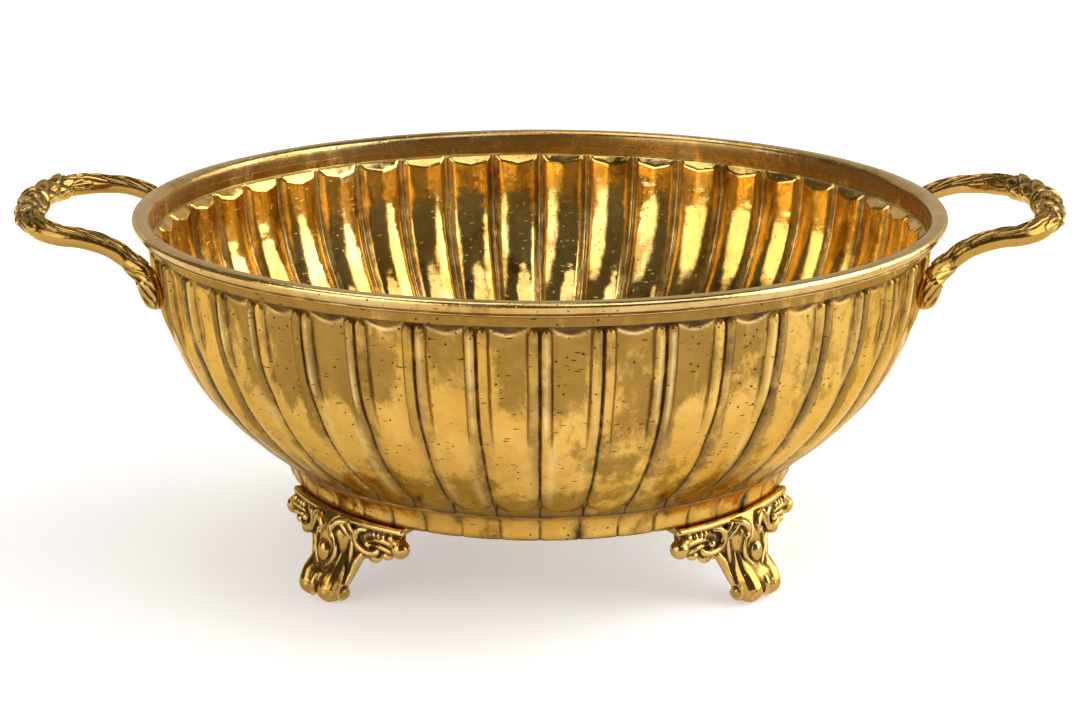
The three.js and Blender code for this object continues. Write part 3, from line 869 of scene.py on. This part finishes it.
def handleLine():
    points = [polar(radius, -handle["padAzimuth"], height) for radius, height in handle["pad"]]
    radius, height = handle["neck"]
    points.append(polar(radius, -math.asin(handle["halfSpan"] / radius), height))
    points.append(Vector((handle["shoulder"][0], -handle["halfSpan"], handle["shoulder"][1])))
    count = handle["loopPoints"]
    for i in range(count):
        turn = math.pi * (i / (2 * count - 1) - 0.5)
        bend = max(0.0, math.cos(turn))
        points.append(Vector((
            handle["armStart"] + handle["loopReach"] * bend ** handle["loopSquare"],
            handle["halfSpan"] * math.sin(turn),
            handle["loopHeight"] + handle["loopRise"] * bend,
        )))
    points += [Vector((point.x, -point.y, point.z)) for point in reversed(points)]
    return splineThrough(points, 40)


# A flat grid is rolled into a tube along the middle line and raised by the leaf relief.
def makeHandle():
    line = np.array(handleLine())
    lengths = np.concatenate(([0], np.cumsum(np.linalg.norm(np.diff(line, axis=0), axis=1))))
    total = lengths[-1]
    rows = handle["rows"]
    columns = handle["columns"]
    spots = np.linspace(0, 1, rows + 1)
    spots = (spots + 0.004 * np.sin(2 * math.pi * spots) / math.pi) * total
    centre = np.stack([np.interp(spots, lengths, line[:, i]) for i in range(3)], axis=1)
    ahead = np.gradient(centre, axis=0)
    ahead /= np.linalg.norm(ahead, axis=1, keepdims=True)
    tip = np.minimum(spots, total - spots)
    level = np.cross(ahead, (0, 0, 1))
    level /= np.linalg.norm(level, axis=1, keepdims=True)
    side = np.where(spots < total / 2, -1.0, 1.0)
    azimuth = handle["padAzimuth"]
    padOut = np.full(rows + 1, -math.sin(azimuth))
    padLevel = np.stack((padOut, side * math.cos(azimuth), np.zeros(rows + 1)), axis=1)
    armPart = softStep(tip, 12, 34)[:, None]
    sideways = padLevel * (1 - armPart) + level * armPart
    sideways /= np.linalg.norm(sideways, axis=1, keepdims=True)
    upward = np.cross(sideways, ahead)
    upward /= np.linalg.norm(upward, axis=1, keepdims=True)
    middle = total / 2 - tip
    body = np.array(handle["body"])
    grip = np.array(handle["grip"])
    gripPart = softStep(-middle, -60, -46)
    under = np.interp(middle, grip[:, 0], grip[:, 1])
    across = np.interp(tip, body[:, 0], body[:, 1]) * (1 - gripPart) + under * gripPart
    deep = np.interp(tip, body[:, 0], body[:, 2]) * (1 - gripPart) + under * gripPart
    turn = np.linspace(0, 2 * math.pi, columns + 1)
    tipGrid, turnGrid = np.meshgrid(tip, turn, indexing="ij")
    relief = handleRelief(tipGrid, total / 2 - tipGrid, turnGrid) * softStep(tipGrid, 0, 3)
    spread = across[:, None] + relief
    lift = deep[:, None] + relief
    places = (
        centre[:, None, :]
        + sideways[:, None, :] * (spread * np.cos(turnGrid))[:, :, None]
        + upward[:, None, :] * (lift * np.sin(turnGrid))[:, :, None]
    ) * mm
    # Painted shade: the top side of the arms is darker than the underside.
    topShade = softStep(np.sin(turnGrid - 0.15 * armPart), -0.1, 0.6) * (0.3 + 0.7 * armPart)
    bm = bmesh.new()
    bmesh.ops.create_grid(bm, x_segments=rows, y_segments=columns, size=1)
    patinaShadeLayer = bm.verts.layers.float.new("patinaAndShade")
    for vert in bm.verts:
        i = round((vert.co.x + 1) / 2 * rows)
        j = round((vert.co.y + 1) / 2 * columns)
        vert.co = places[i, j % columns]
        vert[patinaShadeLayer] = topShade[i, j % columns]
    bmesh.ops.remove_doubles(bm, verts=bm.verts, dist=0.03 * mm)
    return bm


def addHandles():
    right = makeHandle()
    left = right.copy()
    bmesh.ops.rotate(left, verts=left.verts, cent=(0, 0, 0), matrix=Matrix.Rotation(math.pi, 3, "Z"))
    for name, bm in (("right", right), ("left", left)):
        piece = finishPiece("handle." + name, bm, (castBrass,), "cast_brass", "handle_" + name)
        paintHollows(piece.data, **handle["grimeShadeSheen"])


addHandles()

foot = {
    "ringRadius": 106.0,  # the flat drawing is bent round this radius: out, along the ring, up
    "voxel": 0.36,
    "plate": ((-14.0, 1.2), 35.6, (31.9, 34.9)),
    "apronDepth": (-4.2, 0.9),
    "apronTop": 32.5,
    "apronParts": 4,  # slabs between two points of the lower edge
    "apron": ((0, 17.5), (10, 18.0), (15, 18.6), (21, 20.2), (28, 22.6), (34.5, 25.0)),  # lower edge
    "leg": (  # out, up, half-width, half-depth
        (-4.5, 33.2, 12.0, 6.0), (-1.6, 28.5, 11.0, 6.3), (-0.2, 24.0, 10.0, 6.3), (0.2, 19.5, 9.0, 6.1),
        (1.2, 15.0, 8.4, 5.7), (4.0, 11.2, 8.2, 5.2), (7.4, 8.4, 7.8, 5.0), (9.4, 6.6, 6.2, 3.6),
        (10.4, 5.6, 3.4, 1.8),
    ),
    "balls": (  # out, along, up and the three radii; made on both sides
        (6.1, 0.0, 19.2, 2.6, 3.1, 4.9),
        (4.4, 3.7, 26.6, 1.8, 1.8, 1.8),
        (0.8, 35.0, 27.0, 3.9, 3.7, 3.9), (0.6, 33.6, 29.8, 3.0, 3.2, 1.7),
        (1.3, 31.6, 31.0, 1.8, 1.9, 1.7), (1.3, 28.0, 30.9, 1.3, 1.2, 1.3), (1.4, 25.5, 30.9, 1.2, 1.1, 1.3),
        (1.4, 23.2, 30.9, 1.1, 1.0, 1.3),
        (1.7, 20.3, 26.6, 1.9, 1.7, 1.7),
        (0.6, 22.6, 21.0, 2.2, 3.0, 2.2), (0.6, 28.8, 23.2, 2.2, 2.6, 2.0),
        (6.0, 9.8, 5.6, 1.2, 1.6, 1.2),
    ),
    "strands": (  # points (out, along, up, radius); made on both sides
        ((0.5, 0.0, 33.4, 1.45), (0.5, 18.0, 33.4, 1.45), (0.5, 35.0, 33.4, 1.35)),
        ((1.4, 18.6, 31.6, 0.7), (1.7, 15.6, 31.2, 1.3), (1.8, 13.6, 28.2, 1.6), (1.8, 15.2, 24.6, 1.6),
         (1.8, 19.8, 22.8, 1.6), (1.7, 24.2, 23.8, 1.3), (1.3, 25.6, 26.0, 0.6)),
        ((1.2, 21.8, 28.0, 0.5), (1.8, 26.4, 29.2, 1.3), (2.0, 31.0, 28.8, 1.4), (3.2, 36.4, 27.0, 0.5)),
        ((1.2, 22.6, 26.2, 0.5), (1.9, 26.6, 26.6, 1.3), (2.0, 31.0, 25.6, 1.2), (2.6, 35.0, 24.8, 0.5)),
        ((6.4, 0.0, 15.4, 0.8), (9.4, 0.0, 11.6, 1.3), (12.0, 0.0, 7.6, 1.5), (12.2, 0.0, 3.4, 1.3)),
        ((1.2, 6.2, 24.0, 1.6), (1.8, 6.2, 19.0, 3.0), (3.8, 6.0, 14.0, 4.1), (7.0, 5.8, 9.2, 4.9),
         (8.6, 5.5, 5.4, 5.2)),
        ((3.0, 5.8, 32.6, 1.2), (2.9, 9.4, 29.8, 1.4), (2.4, 13.4, 25.2, 0.4)),
        ((2.4, 10.4, 32.4, 0.9), (2.4, 12.2, 30.2, 0.9), (2.0, 13.4, 27.4, 0.3)),
        ((2.4, 8.6, 33.0, 0.9), (3.8, 5.4, 32.2, 1.5), (4.6, 3.0, 29.6, 1.5), (4.6, 3.0, 27.4, 1.2)),
        ((5.6, 5.2, 26.0, 0.5), (5.6, 6.0, 22.0, 0.9), (6.0, 5.4, 18.4, 1.0), (7.4, 2.6, 14.4, 0.8)),
        ((1.4, 11.0, 25.0, 0.7), (1.6, 10.6, 20.0, 1.2), (2.0, 10.2, 15.0, 1.2), (3.4, 10.2, 10.4, 1.0)),
        ((0.2, 15.6, 20.6, 1.6), (1.2, 13.2, 16.8, 2.0), (2.8, 12.0, 12.4, 1.6), (4.4, 10.6, 8.6, 1.5)),
    ),
    "volute": (6.0, 9.6, 5.6, 3.4, 1.25),  # scroll on the side of a toe: middle, turn and strand radius
    "grimeShadeSheen": {"reach": 6, "strength": 15.0, "rubSheen": 6.5, "under": 0.3},
    "places": (("front_right", -5), ("back_right", 5), ("back_left", 17), ("front_left", 27)),  # in flutes
}


# A tube with closed ends, grown ring by ring from a disc.
def growTube(bm, rings, segments):
    made = bmesh.ops.create_circle(bm, cap_ends=True, segments=segments, radius=1, matrix=rings[0])
    cap = made["verts"][0].link_faces[0]
    for one, two in zip(rings, rings[1:]):
        grown = bmesh.ops.extrude_face_region(bm, geom=[cap])["geom"]
        cap = next(part for part in grown if isinstance(part, bmesh.types.BMFace))
        bmesh.ops.transform(bm, matrix=two @ one.inverted(), verts=list(cap.verts))


# One column of a table of stations, spread evenly over the points of a line.
def spreadOut(stations, column, count):
    knots = np.linspace(0, 1, len(stations))
    return np.interp(np.linspace(0, 1, count), knots, [station[column] for station in stations])


# Round strand through points that each have a radius.
def addStrand(bm, stations):
    middles = splineThrough([Vector(station[:3]) for station in stations], 7)
    sizes = spreadOut(stations, 3, len(middles))
    rings = []
    for i, (middle, size) in enumerate(zip(middles, sizes)):
        ahead = middles[min(i + 1, len(middles) - 1)] - middles[max(i - 1, 0)]
        turn = ahead.to_track_quat("Z", "X").to_matrix().to_4x4()
        rings.append(Matrix.Translation(middle * mm) @ turn @ Matrix.Scale(size * mm, 4))
    growTube(bm, rings, 12)
    for end, size in ((rings[0], sizes[0]), (rings[-1], sizes[-1])):
        place = Matrix.Translation(end.translation)
        bmesh.ops.create_icosphere(bm, subdivisions=2, radius=size * mm, matrix=place)


def addBall(bm, out, along, up, *radii):
    size = Matrix.Diagonal((*(radius * mm for radius in radii), 1))
    place = Matrix.Translation(Vector((out, along, up)) * mm)
    bmesh.ops.create_uvsphere(bm, u_segments=24, v_segments=16, radius=1, matrix=place @ size)


def addSlab(bm, outs, alongs, ups):
    size = Vector((outs[1] - outs[0], alongs[1] - alongs[0], ups[1] - ups[0])) * mm
    middle = Vector((sum(outs), sum(alongs), sum(ups))) * mm / 2
    place = Matrix.Translation(middle) @ Matrix.Diagonal((*size, 1))
    cube = bmesh.ops.create_cube(bm, size=1, matrix=place)
    edges = list({edge for vert in cube["verts"] for edge in vert.link_edges})
    bmesh.ops.subdivide_edges(bm, edges=edges, cuts=10, use_grid_fill=True)


def addLeg(bm):
    stations = foot["leg"]
    middles = splineThrough([Vector((station[0], 0, station[1])) for station in stations], 5)
    widths = spreadOut(stations, 2, len(middles))
    depths = spreadOut(stations, 3, len(middles))
    rings = []
    for i, middle in enumerate(middles):
        ahead = (middles[min(i + 1, len(middles) - 1)] - middles[max(i - 1, 0)]).normalized()
        outward = Vector((0, 1, 0)).cross(ahead)
        columns = Matrix((outward * depths[i], Vector((0, widths[i], 0)), ahead)).transposed()
        rings.append(Matrix.Translation(middle * mm) @ (columns * mm).to_4x4())
    growTube(bm, rings, 40)


def addApron(bm):
    edge = foot["apron"]
    count = foot["apronParts"]
    for (one, oneLow), (two, twoLow) in zip(edge, edge[1:]):
        for i in range(count):
            start = one + (two - one) * i / count
            end = one + (two - one) * (i + 1) / count
            drop = oneLow + (twoLow - oneLow) * (i + 0.5) / count
            addSlab(bm, foot["apronDepth"], (start - 0.1, end + 0.1), (drop, foot["apronTop"]))


def addVolute(bm):
    out, along, up, reach, size = foot["volute"]
    curl = []
    for number, angle in enumerate(range(-150, 331, 30)):
        turn = math.radians(angle)
        radius = reach * (1 - 0.035 * number)
        curl.append((out + radius * math.cos(turn), along, up + radius * math.sin(turn), size))
    addStrand(bm, curl)


def footDrawing():
    bm = bmesh.new()
    addApron(bm)
    for stations in foot["strands"]:
        addStrand(bm, stations)
    for ball in foot["balls"]:
        addBall(bm, *ball)
    addVolute(bm)
    bmesh.ops.mirror(bm, geom=bm.verts[:] + bm.edges[:] + bm.faces[:], axis="Y", merge_dist=0)
    outs, half, ups = foot["plate"]
    addSlab(bm, outs, (-half, half), ups)
    addLeg(bm)
    bmesh.ops.recalc_face_normals(bm, faces=bm.faces)
    bend = foot["ringRadius"] * mm
    for vert in bm.verts:
        radius = bend + vert.co.x
        angle = vert.co.y / bend
        vert.co = Vector((radius * math.cos(angle), radius * math.sin(angle), vert.co.z))
    return bm


# The drawing's shapes are fused into one casting, softened and ground flat on top and at the sole.
def makeCasting():
    drawing = meshObject("footDrawing", footDrawing())
    fuse = drawing.modifiers.new("fuse", "REMESH")
    fuse.mode = "VOXEL"
    fuse.voxel_size = foot["voxel"] * mm
    graph = bpy.context.evaluated_depsgraph_get()
    fused = bpy.data.meshes.new_from_object(drawing.evaluated_get(graph))
    bpy.data.objects.remove(drawing)
    bm = bmesh.new()
    bm.from_mesh(fused)
    for _ in range(3):
        bmesh.ops.smooth_vert(
            bm, verts=bm.verts, factor=0.5, use_axis_x=True, use_axis_y=True, use_axis_z=True,
        )
    for vert in bm.verts:
        vert.co.z = min(max(vert.co.z, 0.0), foot["plate"][2][1] * mm)
    bpy.data.meshes.remove(fused)
    return bm


def addFeet():
    casting = makeCasting()
    for name, flutes in foot["places"]:
        bm = casting.copy()
        turn = Matrix.Rotation(flutes * pitch, 3, "Z")
        bmesh.ops.rotate(bm, verts=bm.verts, cent=(0, 0, 0), matrix=turn)
        piece = finishPiece("foot." + name, bm, (castBrass,), "cast_brass", "foot_" + name)
        paintHollows(piece.data, **foot["grimeShadeSheen"])
    casting.free()


addFeet()

fastenings = [node for name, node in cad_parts.items() if "screw" in name or "washer" in name]
for node in fastenings:
    node.data.materials.clear()
    node.data.materials.append(screwBrass)
print("screws and washers:", len(fastenings))

studio = {
    "floorRadius": 6.0,
    "floorColour": (0.8, 0.8, 0.8),
    "floorRough": 0.9,
    "floorShine": 0.1,
    "floorGlow": 0.44,  # only for the camera, reflections and glass
    "sunWay": (0.3, -0.35, 0.95),
    "sunAngle": 38.0,
    "sunPower": 0.55,
    "skyTint": (1.0, 0.88, 0.7),
    "sky": ((0.0, 1.0), (0.497, 1.0), (0.503, 0.2), (0.6, 0.15), (0.75, 0.12), (1.0, 0.08)),
    "softBoxes": (  # way to the middle, cosines at its edge and where it is full, level
        ((0.9, 0.1, 0.37), 0.76, 0.88, 3.7),
        ((-0.76, -0.58, 0.3), 0.84, 0.93, 2.2),
        ((-0.25, 0.2, 0.95), 0.93, 0.97, 2.2),
        ((0, 1, 0.1), 0.6, 0.8, 0.45),
    ),
    "horizon": 0.04,  # height of a way at which the soft boxes are full
}


def makeFloor():
    bm = bmesh.new()
    bmesh.ops.create_circle(bm, cap_ends=True, radius=studio["floorRadius"], segments=64)
    floor = meshObject("studioFloor", bm)
    material = bpy.data.materials.new("paleFloor")
    material.use_nodes = True
    tree = material.node_tree
    rays = addNode(tree, "ShaderNodeLightPath", {}).outputs
    seen = rays["Is Camera Ray"]
    for ray in ("Is Glossy Ray", "Is Transmission Ray"):
        seen = addNode(tree, "ShaderNodeMath", {0: seen, 1: rays[ray]}, operation="ADD").outputs["Value"]
    glow = addNode(tree, "ShaderNodeMath", {0: seen, 1: studio["floorGlow"]}, operation="MULTIPLY")
    plug(tree, tree.nodes["Principled BSDF"], {
        "Base Color": (*studio["floorColour"], 1),
        "Roughness": studio["floorRough"],
        "Specular IOR Level": studio["floorShine"],
        "Emission Color": (1, 1, 1, 1),
        "Emission Strength": glow.outputs["Value"],
    })
    floor.data.materials.append(material)


def makeSun():
    data = bpy.data.lights.new("sunLamp", "SUN")
    data.energy = studio["sunPower"]
    data.angle = math.radians(studio["sunAngle"])
    lamp = linkObject("sunLamp", data)
    lamp.rotation_euler = (-Vector(studio["sunWay"])).to_track_quat("-Z", "Y").to_euler()


def makeRoom():
    world = bpy.data.worlds.new("studioRoom")
    world.use_nodes = True
    tree = world.node_tree
    way = addNode(tree, "ShaderNodeTexCoord", {}).outputs["Generated"]
    height = addNode(tree, "ShaderNodeSeparateXYZ", {"Vector": way}).outputs["Z"]
    rise = addNode(tree, "ShaderNodeMapRange", {"Value": height, "From Min": -1})
    ramp = addNode(tree, "ShaderNodeValToRGB", {"Fac": rise.outputs["Result"]})
    stops = ramp.color_ramp.elements
    while len(stops) < len(studio["sky"]):
        stops.new(0.5)
    for stop, (place, level) in zip(stops, studio["sky"]):
        stop.position = place
        tint = studio["skyTint"] if level < 1 else (1, 1, 1)
        stop.color = (*(level * part for part in tint), 1)
    total = ramp.outputs["Color"]
    above = addNode(tree, "ShaderNodeMapRange", {"Value": height, "From Max": studio["horizon"]})
    for middle, edge, full, level in studio["softBoxes"]:
        sockets = {0: way, 1: Vector(middle).normalized()}
        facing = addNode(tree, "ShaderNodeVectorMath", sockets, operation="DOT_PRODUCT")
        sockets = {"Value": facing.outputs["Value"], "From Min": edge, "From Max": full, "To Max": level}
        panel = addNode(tree, "ShaderNodeMapRange", sockets, interpolation_type="SMOOTHSTEP")
        sockets = {0: panel.outputs["Result"], 1: above.outputs["Result"]}
        shown = addNode(tree, "ShaderNodeMath", sockets, operation="MULTIPLY")
        sockets = {0: total, 1: shown.outputs["Value"]}
        total = addNode(tree, "ShaderNodeVectorMath", sockets, operation="ADD").outputs["Vector"]
    plug(tree, tree.nodes["Background"], {"Color": total})
    bpy.context.scene.world = world


makeFloor()
makeSun()
makeRoom()
print("studio: floor, sun, room with", len(studio["softBoxes"]), "soft boxes")

view = {"place": (0, -0.9434, 0.3471), "target": (0, 0, 0.0764), "lens": 78.45}
cameraData = bpy.data.cameras.new("camera")
cameraData.lens = view["lens"]
cameraData.sensor_width = 36
cameraData.clip_start = 0.01
cameraData.clip_end = 50
camera = linkObject("camera", cameraData)
camera.location = view["place"]
aim = Vector(view["target"]) - Vector(view["place"])
camera.rotation_euler = aim.to_track_quat("-Z", "Y").to_euler()
bpy.context.scene.camera = camera
bpy.context.scene.view_settings.view_transform = "Standard"
